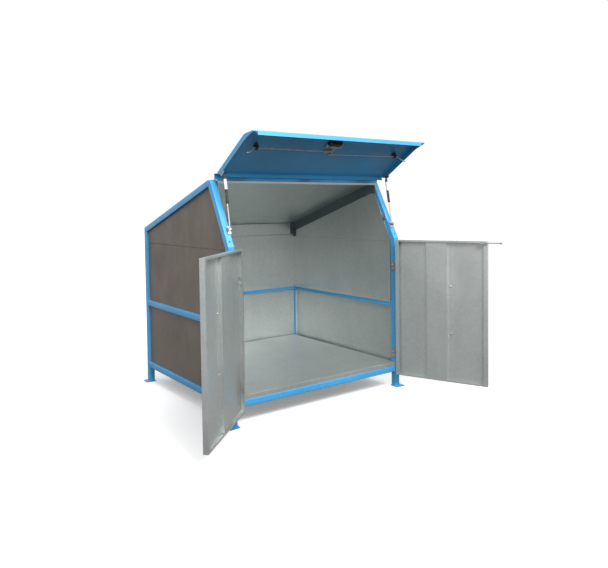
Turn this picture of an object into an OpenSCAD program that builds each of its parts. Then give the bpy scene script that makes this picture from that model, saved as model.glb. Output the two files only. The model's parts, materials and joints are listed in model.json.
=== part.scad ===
// Recycling bin station: welded tube frame with sheet panels, two front
// doors and a gas-strut roof lid with a two-rod lock.
// Units are millimetres, +Z is up and the front faces -Y.
// The origin is the centre of the four anchor holes at floor level.

/* [Frame] */
// Outer width of the tube frame
frame_w = 1350; // [1200:10:1500]
// Outer depth of the tube frame
frame_d = 1250; // [1100:10:1400]
// Side of the square tube
tube = 40; // [35:1:50]
// Wall of the square tube
wall = 3; // [2:0.5:4]
// Height of the underside of the bottom rails
leg_h = 108; // [90:1:130]
// Height of the underside of the middle rails
mid_z = 563; // [500:1:620]
// Height of the front knee
knee_z = 1042; // [1000:1:1080]
// Height of the rear top corner
rear_z = 1132; // [1100:1:1180]
// Height of the peak
peak_z = 1435; // [1400:1:1480]
// Distance from the front face to the front end of the peak
peak_front = 184; // [170:1:200]
// Distance from the front face to the rear end of the peak
peak_back = 250; // [240:1:270]

/* [Feet] */
// Side of a foot plate
foot = 70; // [60:1:90]
// Thickness of a foot plate
foot_t = 6; // [4:1:10]
// Overhang of a foot plate inside the post
foot_in = 5; // [0:1:10]
// Anchor hole diameter
anchor_d = 11; // [9:1:14]
// Distance of an anchor hole outside the tube faces
anchor_out = 12; // [10:1:14]

/* [Panels] */
// Sheet thickness of the panels
sheet = 2; // [1.5:0.5:3]
// Depth of the outer panels behind the tube faces
recess = 15; // [8:1:18]
// Width of the panel return flanges
hem = 14; // [10:1:16]
// Height of the joint between side panel and gable panel
seam_z = 1020; // [1000:1:1025]
// Height of the floor above the bottom rails
tray_h = 28; // [20:1:40]

/* [Lid] */
// Half width of the lid
lid_hw = 660; // [650:1:670]
// Pivot distance behind the front face
piv_y = 150; // [145:1:155]
// Pivot height
piv_z = 1470; // [1466:1:1475]
// Opening angle of the lid above the horizontal in the open pose
lid_open = 31.8; // [28:0.1:36]
// Length of the main lid panel
lid_main = 374; // [368:1:380]
// Length of the bent front lip
lid_lip = 94; // [85:1:95]
// Depth of the side and rear flanges
lid_fl = 30; // [20:1:32]
// Depth of the front flange
lid_front = 24; // [12:1:26]
// Lid sheet thickness
lid_t = 1.5; // [1:0.5:2]

/* [Doors] */
// Width of one door
door_w = 627; // [610:1:627]
// Lower edge of the doors
door_z0 = 100; // [90:1:120]
// Upper edge of the doors
door_z1 = 1034; // [1000:1:1034]
// Depth of the door pan
door_d = 28; // [24:1:28]
// Width of the return lips at the sides of the pan
lip = 25; // [18:1:30]
// Opening of the left door in the open pose
left_open = 137; // [90:1:150]
// Opening of the right door in the open pose
right_open = 112; // [90:1:150]
// Height of the upper hinges
hinge_hi = 845; // [800:5:900]
// Height of the lower hinges
hinge_lo = 235; // [200:5:300]

/* [Struts] */
// Side offset of the gas struts
strut_x = 643; // [640:1:645]
// Radius of the strut cylinder
strut_r = 8.5; // [8:0.5:9]
// Radius of the strut rod
strut_rod = 4; // [3:0.5:5]
// Lower strut pivot behind the front face
low_y = 33; // [30:1:36]
// Lower strut pivot height
low_z = 1144; // [1140:1:1148]

/* [Hidden] */
$fn = 48;
fx = frame_w / 2;
fy = frame_d / 2;
inx = fx - tube;
slope = atan2(peak_z - knee_z, peak_front);
close_turn = lid_open + slope;
bend = 90 - slope;
roof_a = atan2(peak_z - rear_z, frame_d - peak_back);

// Side outline, from the front foot over the knee and peak to the rear foot
F0 = [-fy, foot_t];
K = [-fy, knee_z];
A = [-fy + peak_front, peak_z];
B = [-fy + peak_back, peak_z];
R = [fy, rear_z];
F1 = [fy, foot_t];

function unit(v) = v / norm(v);
function perp(a, b) = let (u = unit(b - a)) [u[1], -u[0]];
function mit(a, b, c, d) =
    let (n1 = perp(a, b), n2 = perp(b, c))
    b + d * (n1 + n2) / (1 + n1 * n2);
function along(a, b, d) = a + d * unit(b - a);

function kn(d) = mit(F0, K, A, d);
function pf(d) = mit(K, A, B, d);
function pb(d) = mit(A, B, R, d);
function rr(d) = mit(B, R, F1, d);

// Draws a side-view outline at x0 with thickness t along X
module side_slab(x0, t, pts) {
    translate([x0, 0, 0])
        rotate([90, 0, 90])
            linear_extrude(height = t) polygon(pts);
}

// Hollow tube between two mitred ends, a and b outside, ai and bi inside
module mitred_tube(x0, a, b, ai, bi, ah, bh, al, bl) {
    difference() {
        side_slab(x0, tube, [a, b, bi, ai]);
        side_slab(x0 + wall, tube - 2 * wall,
            [along(ah, bh, -8), along(bh, ah, -8), along(bl, al, -8), along(al, bl, -8)]);
    }
}

module box(x0, x1, y0, y1, z0, z1) {
    translate([x0, y0, z0]) cube([x1 - x0, y1 - y0, z1 - z0]);
}

module tube_x(x0, x1, y0, z0) {
    difference() {
        box(x0, x1, y0, y0 + tube, z0, z0 + tube);
        box(x0 - 1, x1 + 1, y0 + wall, y0 + tube - wall, z0 + wall, z0 + tube - wall);
    }
}

module tube_y(x0, y0, y1, z0) {
    difference() {
        box(x0, x0 + tube, y0, y1, z0, z0 + tube);
        box(x0 + wall, x0 + tube - wall, y0 - 1, y1 + 1, z0 + wall, z0 + tube - wall);
    }
}

// Left or right placement of something drawn for the left side
module right_side() {
    mirror([1, 0, 0]) children();
}

module front_post_left() {
    difference() {
        side_slab(-fx, tube, [F0, K, kn(tube), [-fy + tube, foot_t]]);
        side_slab(-fx + wall, tube - 2 * wall, [
            [-fy + wall, foot_t - 1],
            [-fy + wall, kn(wall)[1] + 8],
            [-fy + tube - wall, kn(tube - wall)[1] + 8],
            [-fy + tube - wall, foot_t - 1]]);
    }
}

module rear_post_left() {
    difference() {
        side_slab(-fx, tube, [F1, [fy - tube, foot_t], rr(tube), R]);
        side_slab(-fx + wall, tube - 2 * wall, [
            [fy - wall, foot_t - 1],
            [fy - tube + wall, foot_t - 1],
            [fy - tube + wall, rr(tube - wall)[1] + 8],
            [fy - wall, rr(wall)[1] + 8]]);
    }
}

module slope_left() {
    mitred_tube(-fx, K, A, kn(tube), pf(tube),
        kn(wall), pf(wall), kn(tube - wall), pf(tube - wall));
}

module peak_left() {
    mitred_tube(-fx, A, B, pf(tube), pb(tube),
        pf(wall), pb(wall), pf(tube - wall), pb(tube - wall));
}

module roof_left() {
    mitred_tube(-fx, B, R, pb(tube), rr(tube),
        pb(wall), rr(wall), pb(tube - wall), rr(tube - wall));
}

module side_rails_left() {
    for (z = [leg_h, mid_z])
        tube_y(-fx, -fy + tube, fy - tube, z);
}

// Sheet pan with a return flange all round, open towards the inside
module pan_x(x0, y0, y1, z0, z1) {
    difference() {
        box(x0, x0 + hem, y0, y1, z0, z1);
        box(x0 + sheet, x0 + hem + 1, y0 + sheet, y1 - sheet, z0 + sheet, z1 - sheet);
    }
}

module pan_y(y0, x0, x1, z0, z1) {
    difference() {
        box(x0, x1, y0 - hem, y0, z0, z1);
        box(x0 + sheet, x1 - sheet, y0 - hem - 1, y0 - sheet, z0 + sheet, z1 - sheet);
    }
}

module gable_left() {
    z0 = seam_z + 2;
    difference() {
        side_slab(-fx + recess, hem, [
            [-fy + tube, z0], kn(tube), pf(tube), pb(tube), rr(tube), [fy - tube, z0]]);
        side_slab(-fx + recess + sheet, hem, [
            [-fy + tube + sheet, z0 + sheet], kn(tube + sheet), pf(tube + sheet),
            pb(tube + sheet), rr(tube + sheet), [fy - tube - sheet, z0 + sheet]]);
    }
}

trim_d = 78;
corner_w = 36;

// Height of a line d below the sloping roof line, at a given depth
function roof_z(y, d) = rear_z + (fy - y) * tan(roof_a) - d / cos(roof_a);
function slope_y(z, d) = -fy + (z - knee_z) / tan(slope) + d / sin(slope);

module lining_left() {
    z0 = mid_z + tube + 9;
    z1 = seam_z + 2;
    y0 = -fy + tube + 2;
    y1 = fy - tube - corner_w;
    zt = peak_z - trim_d - 1;
    box(-inx, -inx + 2, y0, fy - tube - 2, z0, seam_z);
    box(-inx + 2, -inx + 4, y0, fy - tube - 4, z0, z0 + 10);
    side_slab(-inx, 2, [[y0, z1], [y0, kn(tube + 2)[1]], [slope_y(zt, tube + 2), zt],
        [pb(trim_d + 1)[0], zt], [y1, roof_z(y1, trim_d + 1)], [y1, z1]]);
}

module trim_left() {
    y0 = -fy + peak_front + 8;
    y1 = fy - tube - 2.5;
    y2 = fy - tube - corner_w + 1;
    side_slab(-inx, 2, [[y0, peak_z - 8], [pb(8)[0], peak_z - 8], [y1, roof_z(y1, 8)],
        [y1, seam_z + 2], [y2, seam_z + 2], [y2, roof_z(y2, trim_d)],
        [pb(trim_d)[0], peak_z - trim_d], [y0, peak_z - trim_d]]);
    box(-inx, -inx + corner_w, y1, y1 + 2, seam_z + 20, roof_z(y1, 10));
}

module foot_one() {
    difference() {
        box(-fx + tube + foot_in - foot, -fx + tube + foot_in,
            -fy + tube + foot_in - foot, -fy + tube + foot_in, 0, foot_t);
        translate([-fx - anchor_out, -fy - anchor_out, -1])
            cylinder(d = anchor_d, h = foot_t + 2);
    }
}

/* ---- frame nodes ---- */

module front_left_post() {
    color([0.15, 0.4, 0.66]) front_post_left();
}

module front_right_post() {
    color([0.15, 0.4, 0.66]) right_side() front_post_left();
}

module rear_left_post() {
    color([0.15, 0.4, 0.66]) rear_post_left();
}

module rear_right_post() {
    color([0.15, 0.4, 0.66]) right_side() rear_post_left();
}

module left_slope_tube() {
    color([0.15, 0.4, 0.66]) slope_left();
}

module right_slope_tube() {
    color([0.15, 0.4, 0.66]) right_side() slope_left();
}

module left_peak_tube() {
    color([0.15, 0.4, 0.66]) peak_left();
}

module right_peak_tube() {
    color([0.15, 0.4, 0.66]) right_side() peak_left();
}

module left_roof_tube() {
    color([0.15, 0.4, 0.66]) roof_left();
}

module right_roof_tube() {
    color([0.15, 0.4, 0.66]) right_side() roof_left();
}

module left_side_rails() {
    color([0.15, 0.4, 0.66]) side_rails_left();
}

module right_side_rails() {
    color([0.15, 0.4, 0.66]) right_side() side_rails_left();
}

module front_bottom_rail() {
    color([0.15, 0.4, 0.66]) tube_x(-inx, inx, -fy, leg_h);
}

module rear_rails() {
    color([0.15, 0.4, 0.66]) {
        tube_x(-inx, inx, fy - tube, leg_h);
        tube_x(-inx, inx, fy - tube, mid_z);
        tube_x(-inx, inx, fy - tube, rear_z - 8 - tube);
    }
}

module foot_plates() {
    color([0.15, 0.4, 0.66]) {
        foot_one();
        mirror([1, 0, 0]) foot_one();
        mirror([0, 1, 0]) foot_one();
        mirror([1, 0, 0]) mirror([0, 1, 0]) foot_one();
    }
}

module floor_tray() {
    x1 = inx - 2;
    y0 = -fy + 2;
    y1 = fy - tube + 10;
    z1 = leg_h + tube + tray_h;
    z0 = leg_h + tube;
    color([0.7, 0.71, 0.69]) difference() {
        box(-x1, x1, y0, y1, z0, z1);
        box(-x1 + sheet, x1 - sheet, y0 + sheet, y1 - sheet, z0 - 1, z1 - sheet);
    }
}

module floor_bearers() {
    z0 = leg_h + tube;
    z1 = z0 + tray_h - sheet;
    color([0.7, 0.71, 0.69]) for (x = [-230, 190]) {
        difference() {
            box(x, x + 40, -fy + 4.5, fy - tube + 7.5, z0, z1);
            box(x + 2, x + 38, -fy + 3, fy - tube + 9, z0 - 1, z1 - 2);
        }
    }
}

module left_lower_panel() {
    color([0.42, 0.4, 0.37])
        pan_x(-fx + recess, -fy + tube, fy - tube, leg_h + tube, mid_z);
}

module right_lower_panel() {
    color([0.42, 0.4, 0.37]) right_side()
        pan_x(-fx + recess, -fy + tube, fy - tube, leg_h + tube, mid_z);
}

module left_upper_panel() {
    color([0.42, 0.4, 0.37])
        pan_x(-fx + recess, -fy + tube, fy - tube, mid_z + tube, seam_z);
}

module right_upper_panel() {
    color([0.42, 0.4, 0.37]) right_side()
        pan_x(-fx + recess, -fy + tube, fy - tube, mid_z + tube, seam_z);
}

module left_gable_panel() {
    color([0.42, 0.4, 0.37]) gable_left();
}

module right_gable_panel() {
    color([0.42, 0.4, 0.37]) right_side() gable_left();
}

module rear_lower_panel() {
    color([0.42, 0.4, 0.37])
        pan_y(fy - recess, -inx, inx, leg_h + tube, mid_z);
}

module rear_upper_panel() {
    color([0.42, 0.4, 0.37])
        pan_y(fy - recess, -inx, inx, mid_z + tube, rear_z - 8 - tube);
}

module roof_sheet() {
    d = 5;
    a = pf(d);
    b = pb(d);
    r = rr(d);
    color([0.6, 0.62, 0.61])
        side_slab(-inx, 2 * inx, [
            [-fy + peak_front + 4, a[1] - 14],
            [-fy + peak_front + 4, a[1]],
            b,
            [fy - 4, r[1] + 1 * tan(roof_a)],
            [fy - 4, r[1] + 1 * tan(roof_a) - sheet / cos(roof_a)],
            pb(d + sheet),
            [-fy + peak_front + 4 + sheet, a[1] - sheet],
            [-fy + peak_front + 4 + sheet, a[1] - 14]]);
}

module left_lining() {
    color([0.6, 0.62, 0.61]) lining_left();
}

module right_lining() {
    color([0.6, 0.62, 0.61]) right_side() lining_left();
}

module rear_lining() {
    z0 = mid_z + tube + 9;
    y1 = fy - tube;
    color([0.6, 0.62, 0.61]) {
        box(-inx + 2, inx - 2, y1 - 2, y1, z0, seam_z + 18);
        box(-inx + 4, inx - 4, y1 - 4, y1 - 2, z0, z0 + 10);
        box(corner_w - inx + 1, inx - corner_w - 1, y1 - 2, y1, seam_z + 20, rear_z + 1);
    }
}

module edge_trims() {
    color([0.08, 0.11, 0.12]) {
        trim_left();
        right_side() trim_left();
    }
}

/* ---- lid hinge line ---- */

lid_knuckles = [-500, 0, 500];

module hinge_rail() {
    y1 = -fy + peak_front + 6.5;
    zt = pf(5)[1];
    color([0.15, 0.4, 0.66]) {
        box(-inx, inx, y1, y1 + 2.5, zt, peak_z + 2);
        box(5 - lid_hw, lid_hw - 5, y1, y1 + 2.5, peak_z, piv_z + 1.5);
        box(-inx, inx, y1 + 2.5, y1 + 28, zt, zt + 2.5);
        difference() {
            box(5 - lid_hw, lid_hw - 5, -fy + piv_y + 7, y1, piv_z - 1, piv_z + 1.5);
            for (x = lid_knuckles)
                box(x - 49, x + 49, -fy + piv_y - 1, -fy + piv_y + 9, piv_z - 9, piv_z + 9);
        }
    }
}

module lid_hinge_pins() {
    color([0.6, 0.62, 0.61]) for (x = lid_knuckles) {
        translate([x - 20, -fy + piv_y, piv_z]) rotate([0, 90, 0])
            cylinder(r = 5.5, h = 40);
        translate([x - 46, -fy + piv_y, piv_z]) rotate([0, 90, 0])
            cylinder(r = 3, h = 92);
        box(x - 20, x + 20, -fy + piv_y + 2, -fy + piv_y + 9, piv_z - 1, piv_z + 1.5);
        box(x - 20, x + 20, -fy + piv_y + 9, -fy + peak_front + 6.5, piv_z + 1.5, piv_z + 3.5);
        box(x - 20, x + 20, -fy + piv_y + 6, -fy + piv_y + 9, piv_z + 1, piv_z + 3.5);
    }
}

/* ---- lid, drawn flat about its pivot and then opened ---- */

module lid_place() {
    translate([0, -fy + piv_y, piv_z]) rotate([-lid_open, 0, 0]) children();
}

// Flat lid outline: rear edge, bend and lip end on the outer face
L0 = [-7, 1];
L1 = [-7 - lid_main + 7, 1];
lu = [-cos(bend), -sin(bend)];
lv = [sin(bend), -cos(bend)];
L2 = L1 + lid_lip * lu;
LM = mit(L2, L1, L0, lid_fl);
LT = mit(L2, L1, L0, lid_t);

module lid_slab(x0, x1, pts) {
    translate([x0, 0, 0]) rotate([90, 0, 90])
        linear_extrude(height = x1 - x0) polygon(pts);
}

spin_x = -5;
spin_y = -278;

module lid_panel() {
    e = 0.4;
    q = L2 - e * lu;
    k = L2 - (lid_t - e) * lu;
    rim = [[-7 - e, 1 - e], mit(L2, L1, L0, e), q + e * lv, q + 6 * lv,
        LM, [-36, 1 - lid_fl], [-7 - e, -9]];
    color([0.15, 0.4, 0.66]) lid_place() difference() {
        union() {
            lid_slab(-lid_hw, lid_hw, [L0, L1, L2, L2 + lid_t * lv, LT, [-7, 1 - lid_t]]);
            for (s = [-lid_hw, lid_hw - lid_t])
                lid_slab(s, s + lid_t, rim);
            lid_slab(-lid_hw + 12, lid_hw - 12,
                [[-7, 1 - e], [-7, 1 - lid_fl], [-7 - lid_t, 1 - lid_fl], [-7 - lid_t, 1 - e]]);
            lid_slab(-lid_hw + e, lid_hw - e,
                [[-7 - e, 1 - e], [-7 - e, -9], [-6.6 - lid_t, -9], [-6.6 - lid_t, 1 - e]]);
            lid_slab(-630, 630, [L2 + e * lv, L2 + lid_front * lv,
                L2 + lid_front * lv - lid_t * lu, L2 - lid_t * lu + e * lv]);
            lid_slab(-lid_hw + e, lid_hw - e, [q + e * lv, q + 5.5 * lv, k + 5.5 * lv, k + e * lv]);
        }
        translate([spin_x, spin_y, -10]) cylinder(r = 9, h = 20);
    }
}

module lid_hinge_leaves() {
    color([0.6, 0.62, 0.61]) lid_place() for (x = lid_knuckles, s = [-1, 1]) {
        c = x + s * 33.25;
        difference() {
            union() {
                translate([c - 12.5, 0, 0]) rotate([0, 90, 0]) cylinder(r = 5.5, h = 25);
                box(c - 12.5, c + 12.5, -7, 0, 1, 3.5);
                box(c - 12.5, c + 12.5, -42, -6, 1, 3.5);
            }
            translate([c - 20, 0, 0]) rotate([0, 90, 0]) cylinder(r = 3.05, h = 40);
        }
    }
}

module lock_case() {
    color([0.06, 0.06, 0.07]) lid_place() {
        box(-60, 34, -371, -341, -24, 1 - lid_t);
        box(-50, 24, -366, -346, -28, -24);
    }
}

module lock_plate() {
    color([0.6, 0.62, 0.61]) lid_place() difference() {
        union() {
            box(-60, 62, -341, -302, -9, 1 - lid_t);
            box(-40, 30, -302, -256, -9, -6);
            box(-40, -34, -302, -256, -6, 1 - lid_t);
            box(24, 30, -302, -256, -6, 1 - lid_t);
        }
        translate([spin_x, spin_y, -20]) cylinder(r = 6.06, h = 25);
    }
}

module lock_escutcheon() {
    color([0.06, 0.06, 0.07]) lid_place() difference() {
        translate([spin_x, spin_y, 1]) cylinder(r = 30, h = 6);
        translate([spin_x, spin_y, 0]) cylinder(r = 6.06, h = 10);
    }
}

module lock_handle() {
    color([0.06, 0.06, 0.07]) lid_place() {
        translate([spin_x, spin_y, -21.5]) cylinder(r = 6, h = 32);
        translate([spin_x, spin_y, 7.5]) cylinder(r = 14, h = 12);
        difference() {
            box(spin_x - 10, spin_x + 10, spin_y - 92, spin_y, 10.5, 22.5);
            box(spin_x - 7, spin_x + 7, spin_y - 86, spin_y - 20, 9, 12.5);
        }
    }
}

module lock_cam() {
    color([0.6, 0.62, 0.61]) lid_place() difference() {
        union() {
            translate([spin_x, spin_y, -15]) cylinder(r = 11, h = 4);
            translate([spin_x, spin_y, -19]) cylinder(r = 20, h = 4);
        }
        translate([spin_x, spin_y, -22]) cylinder(r = 6, h = 12);
    }
}

rod_r = 4;
rod_z = -25.5;
guide_x = 545;
rod_in = 14;
right_dy = -15;
rod_drop = 36.5;

// Rod along its own axis: inner end with a drive peg, crank link and tip
module lock_rod(s, y0, y1) {
    a = atan2(y1 - y0, s * guide_x - spin_x);
    run = 578 - s * spin_x;
    translate([spin_x, y0, rod_z]) rotate([0, 0, a]) {
        translate([-6, 0, 0]) rotate([0, 90, 0]) cylinder(r = rod_r, h = run + 6);
        translate([run - 5, -5, -rod_drop - 5]) cube([10, 10, rod_drop + 10]);
        translate([run + 4, 0, -rod_drop]) rotate([0, 90, 0]) cylinder(r = rod_r, h = 40);
        translate([0, 0, 3]) cylinder(r = 3, h = 3);
    }
}

module left_lock_rod() {
    color([0.72, 0.73, 0.74]) lid_place()
        lock_rod(-1, spin_y - rod_in, spin_y - rod_in - 1);
}

module right_lock_rod() {
    color([0.72, 0.73, 0.74]) lid_place()
        lock_rod(1, spin_y + rod_in, spin_y + rod_in + right_dy);
}

module guide_one(s, y0, y1) {
    p0 = [spin_x, y0, rod_z];
    u = unit([s * guide_x - spin_x, y1 - y0, 0]);
    a = atan2(u[1], u[0]);
    difference() {
        translate([s * guide_x, y1, 0]) {
            box(-7, 7, -14, 14, -33, 1 - lid_t);
            box(-7, 7, -20, 20, -4, 1 - lid_t);
        }
        translate([s * guide_x, y1, rod_z]) rotate([0, 0, a]) rotate([0, 90, 0])
            translate([0, 0, -30]) cylinder(r = rod_r + 0.08, h = 60);
    }
}

module rod_guides() {
    color([0.06, 0.06, 0.07]) lid_place() {
        guide_one(-1, spin_y - rod_in, spin_y - rod_in - 1);
        guide_one(1, spin_y + rod_in, spin_y + rod_in + right_dy);
    }
}

// Catch plates on the slope tubes take the rod tips when the lid is down
module catch_at(s, y) {
    translate([0, -fy + piv_y, piv_z]) rotate([slope, 0, 0])
        translate([0, y, rod_z - rod_drop]) difference() {
            union() {
                box(s > 0 ? 624 : -627, s > 0 ? 627 : -624, -15, 15, -13, 13);
                box(s > 0 ? 627 : -635, s > 0 ? 635 : -627, -15, 15, -13, -10);
                box(s > 0 ? 632 : -635, s > 0 ? 635 : -632, -15, 15, -22, -10);
            }
            translate([s * 620, 0, 0]) rotate([0, s * 90, 0]) cylinder(r = 6.5, h = 9);
        }
}

module rod_catches() {
    color([0.6, 0.62, 0.61]) {
        catch_at(-1, spin_y - rod_in - 1);
        catch_at(1, spin_y + rod_in + right_dy * 1.13);
    }
}

/* ---- gas struts ---- */

low = [-fy + low_y, low_z];
top_l = [-52, -33.5];
top_w = [-fy + piv_y + top_l[0] * cos(lid_open) + top_l[1] * sin(lid_open),
    piv_z - top_l[0] * sin(lid_open) + top_l[1] * cos(lid_open)];
strut_len = norm(top_w - low);
strut_ang = atan2(top_w[1] - low[1], top_w[0] - low[0]);
cyl_len = 178;

module strut_place(s) {
    translate([s * strut_x, low[0], low[1]]) rotate([strut_ang, 0, 0]) children();
}

module strut_eye(y) {
    translate([-4, y, 0]) rotate([0, 90, 0]) cylinder(r = 7, h = 8);
}

module strut_rod_at(s) {
    strut_place(s) difference() {
        union() {
            strut_eye(0);
            translate([0, 6, 0]) rotate([-90, 0, 0]) cylinder(r = 5.5, h = 10);
            translate([0, 12, 0]) rotate([-90, 0, 0])
                cylinder(r = strut_rod, h = strut_len - cyl_len + 32);
        }
        translate([-6, 0, 0]) rotate([0, 90, 0]) cylinder(r = 4.05, h = 12);
    }
}

module strut_cylinder_at(s) {
    y0 = strut_len - cyl_len;
    strut_place(s) difference() {
        union() {
            translate([0, y0, 0]) rotate([-90, 0, 0]) cylinder(r = strut_r, h = cyl_len - 16);
            translate([0, y0 + cyl_len - 17, 0]) rotate([-90, 0, 0]) cylinder(r = 5.5, h = 12);
            strut_eye(strut_len);
            translate([s > 0 ? 3 : -12, strut_len, 0]) rotate([0, 90, 0]) cylinder(r = 4, h = 9);
        }
        translate([0, y0 - 1, 0]) rotate([-90, 0, 0]) cylinder(r = strut_rod + 0.06, h = 100);
    }
}

module left_strut_rod() {
    color([0.85, 0.86, 0.87]) strut_rod_at(-1);
}

module right_strut_rod() {
    color([0.85, 0.86, 0.87]) strut_rod_at(1);
}

module left_strut_cylinder() {
    color([0.06, 0.06, 0.07]) strut_cylinder_at(-1);
}

module right_strut_cylinder() {
    color([0.06, 0.06, 0.07]) strut_cylinder_at(1);
}

module strut_bracket_left() {
    h = (-low[0] - fy + peak_front) * sin(slope) + (low[1] - peak_z) * cos(slope);
    translate([0, low[0], low[1]]) rotate([slope, 0, 0]) {
        box(-656, -636, -24, 24, -h, -h + 3);
        box(-656, -652.5, -11, 11, -h, 9);
        translate([-653, 0, 0]) rotate([0, 90, 0]) cylinder(r = 4, h = 16);
        translate([-637.5, 0, 0]) rotate([0, 90, 0]) cylinder(r = 6, h = 1.5);
    }
}

module strut_brackets() {
    color([0.6, 0.62, 0.61]) {
        strut_bracket_left();
        right_side() strut_bracket_left();
    }
}

module strut_lid_plates() {
    color([0.6, 0.62, 0.61]) lid_place() for (s = [-1, 1])
        box(s > 0 ? 655.5 : -658.5, s > 0 ? 658.5 : -655.5, -72, -32, -41, -5);
}

module lid_stops() {
    color([0.15, 0.4, 0.66]) for (s = [-1, 1])
        translate([s * 655, -fy, knee_z]) rotate([slope, 0, 0])
            translate([0, 38, 0]) cylinder(r = 5, h = 7);
}

/* ---- doors, drawn closed for the left side about the hinge pin ---- */

pin_x = fx - tube - 6;
pin_y = -fy - 1.5 - door_d;
knk = 10;

module left_door_place() {
    translate([-pin_x, pin_y, 0]) rotate([0, 0, -left_open]) children();
}

module right_door_place() {
    translate([pin_x, pin_y, 0]) rotate([0, 0, right_open]) mirror([1, 0, 0]) children();
}

module door_pan() {
    t = 1.5;
    difference() {
        box(0, door_w, 0, door_d, door_z0, door_z1);
        box(t, door_w - t, t, door_d - t, door_z0 + t, door_z1 - t);
        box(lip, door_w - lip, door_d - t - 1, door_d + 1, door_z0 + 12, door_z1 - 12);
        for (z = [hinge_lo, hinge_hi])
            box(-1, 8, -1, 8, z - 31, z + 31);
    }
}

module door_stiffener() {
    z0 = door_z0 + 4;
    z1 = door_z1 - 4;
    difference() {
        union() {
            box(218, 360, 1.5, 19.5, z0, z1);
            box(194, 219, 1.5, 3, z0, z1);
            box(359, 398, 1.5, 3, z0, z1);
        }
        box(219.5, 358.5, 0, 18, z0 - 1, z1 + 1);
    }
}

module door_screws() {
    for (z = [door_z0 + 315, door_z0 + 630])
        translate([382, 3, z]) rotate([-90, 0, 0]) cylinder(r = 6, h = 3.5);
    for (z = [hinge_lo, hinge_hi], dz = [-13, 13])
        translate([4.5, 18, z + dz]) rotate([0, 90, 0]) cylinder(r = 5, h = 4);
}

module door_leaves() {
    for (z = [hinge_lo, hinge_hi]) difference() {
        union() {
            translate([0, 0, z - 9.5]) cylinder(r = 5.5, h = 19);
            box(1.5, 4.5, 0, 12, z - 9.5, z + 9.5);
            box(1.5, 4.5, 9, 26, z - 28, z + 28);
        }
        translate([0, 0, z - 12]) cylinder(r = 3.05, h = 24);
    }
}

module post_leaf(z) {
    difference() {
        union() {
            translate([0, 0, z - 30]) cylinder(r = 5.5, h = 20);
            translate([0, 0, z + 10]) cylinder(r = 5.5, h = 20);
            box(-6, -3.4, 0, 62, z - 30, z + 30);
        }
        box(-7, 6, -7, 6.5, z - 10, z + 10);
    }
    translate([0, 0, z - 29]) cylinder(r = 3, h = 58);
    for (dz = [-13, 13])
        translate([-4, 49, z + dz]) rotate([0, 90, 0]) cylinder(r = 5, h = 4.6);
}

module door_post_hinges() {
    color([0.6, 0.62, 0.61]) for (z = [hinge_lo, hinge_hi]) {
        translate([-pin_x, pin_y, 0]) post_leaf(z);
        translate([pin_x, pin_y, 0]) mirror([1, 0, 0]) post_leaf(z);
    }
}

module left_door_pan() {
    color([0.6, 0.62, 0.61]) left_door_place() door_pan();
}

module left_door_stiffener() {
    color([0.6, 0.62, 0.61]) left_door_place() door_stiffener();
}

module left_door_hinges() {
    color([0.6, 0.62, 0.61]) left_door_place() door_leaves();
}

module left_door_screws() {
    color([0.75, 0.76, 0.77]) left_door_place() door_screws();
}

module right_door_pan() {
    color([0.6, 0.62, 0.61]) right_door_place() door_pan();
}

module right_door_stiffener() {
    color([0.6, 0.62, 0.61]) right_door_place() door_stiffener();
}

module right_door_hinges() {
    color([0.6, 0.62, 0.61]) right_door_place() door_leaves();
}

module right_door_screws() {
    color([0.75, 0.76, 0.77]) right_door_place() door_screws();
}

// Bar at the top corner of the right door, which stops the left door
module door_stop_bar() {
    zb = door_z1 - 10;
    color([0.72, 0.73, 0.74]) right_door_place() {
        difference() {
            box(572, 622, door_d, door_d + 15, zb - 8, zb + 8);
            translate([560, door_d + 9, zb]) rotate([0, 90, 0]) cylinder(r = 4.5, h = 80);
        }
        translate([566, door_d + 9, zb]) rotate([0, 90, 0]) cylinder(r = 4.5, h = 150);
        translate([708, door_d + 9, zb]) rotate([0, 90, 0]) cylinder(r = 7.5, h = 14);
    }
}

/* ---- node list ---- */

front_left_post();
front_right_post();
rear_left_post();
rear_right_post();
left_slope_tube();
right_slope_tube();
left_peak_tube();
right_peak_tube();
left_roof_tube();
right_roof_tube();
left_side_rails();
right_side_rails();
front_bottom_rail();
rear_rails();
foot_plates();
floor_tray();
floor_bearers();
left_lower_panel();
right_lower_panel();
left_upper_panel();
right_upper_panel();
left_gable_panel();
right_gable_panel();
rear_lower_panel();
rear_upper_panel();
roof_sheet();
left_lining();
right_lining();
rear_lining();
hinge_rail();
lid_hinge_pins();
door_post_hinges();
strut_brackets();
rod_catches();
lid_stops();
edge_trims();
lid_panel();
lid_hinge_leaves();
lock_case();
lock_plate();
lock_escutcheon();
rod_guides();
strut_lid_plates();
lock_handle();
lock_cam();
left_lock_rod();
right_lock_rod();
left_strut_rod();
right_strut_rod();
left_strut_cylinder();
right_strut_cylinder();
left_door_pan();
left_door_stiffener();
left_door_hinges();
left_door_screws();
right_door_pan();
right_door_stiffener();
right_door_hinges();
right_door_screws();
door_stop_bar();
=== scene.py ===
"""Looks for the recycling bin station: materials, frame tubes, fasteners, lights and camera."""

import json
import math
import random

import bmesh
import bpy
from mathutils import Matrix, Vector


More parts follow.
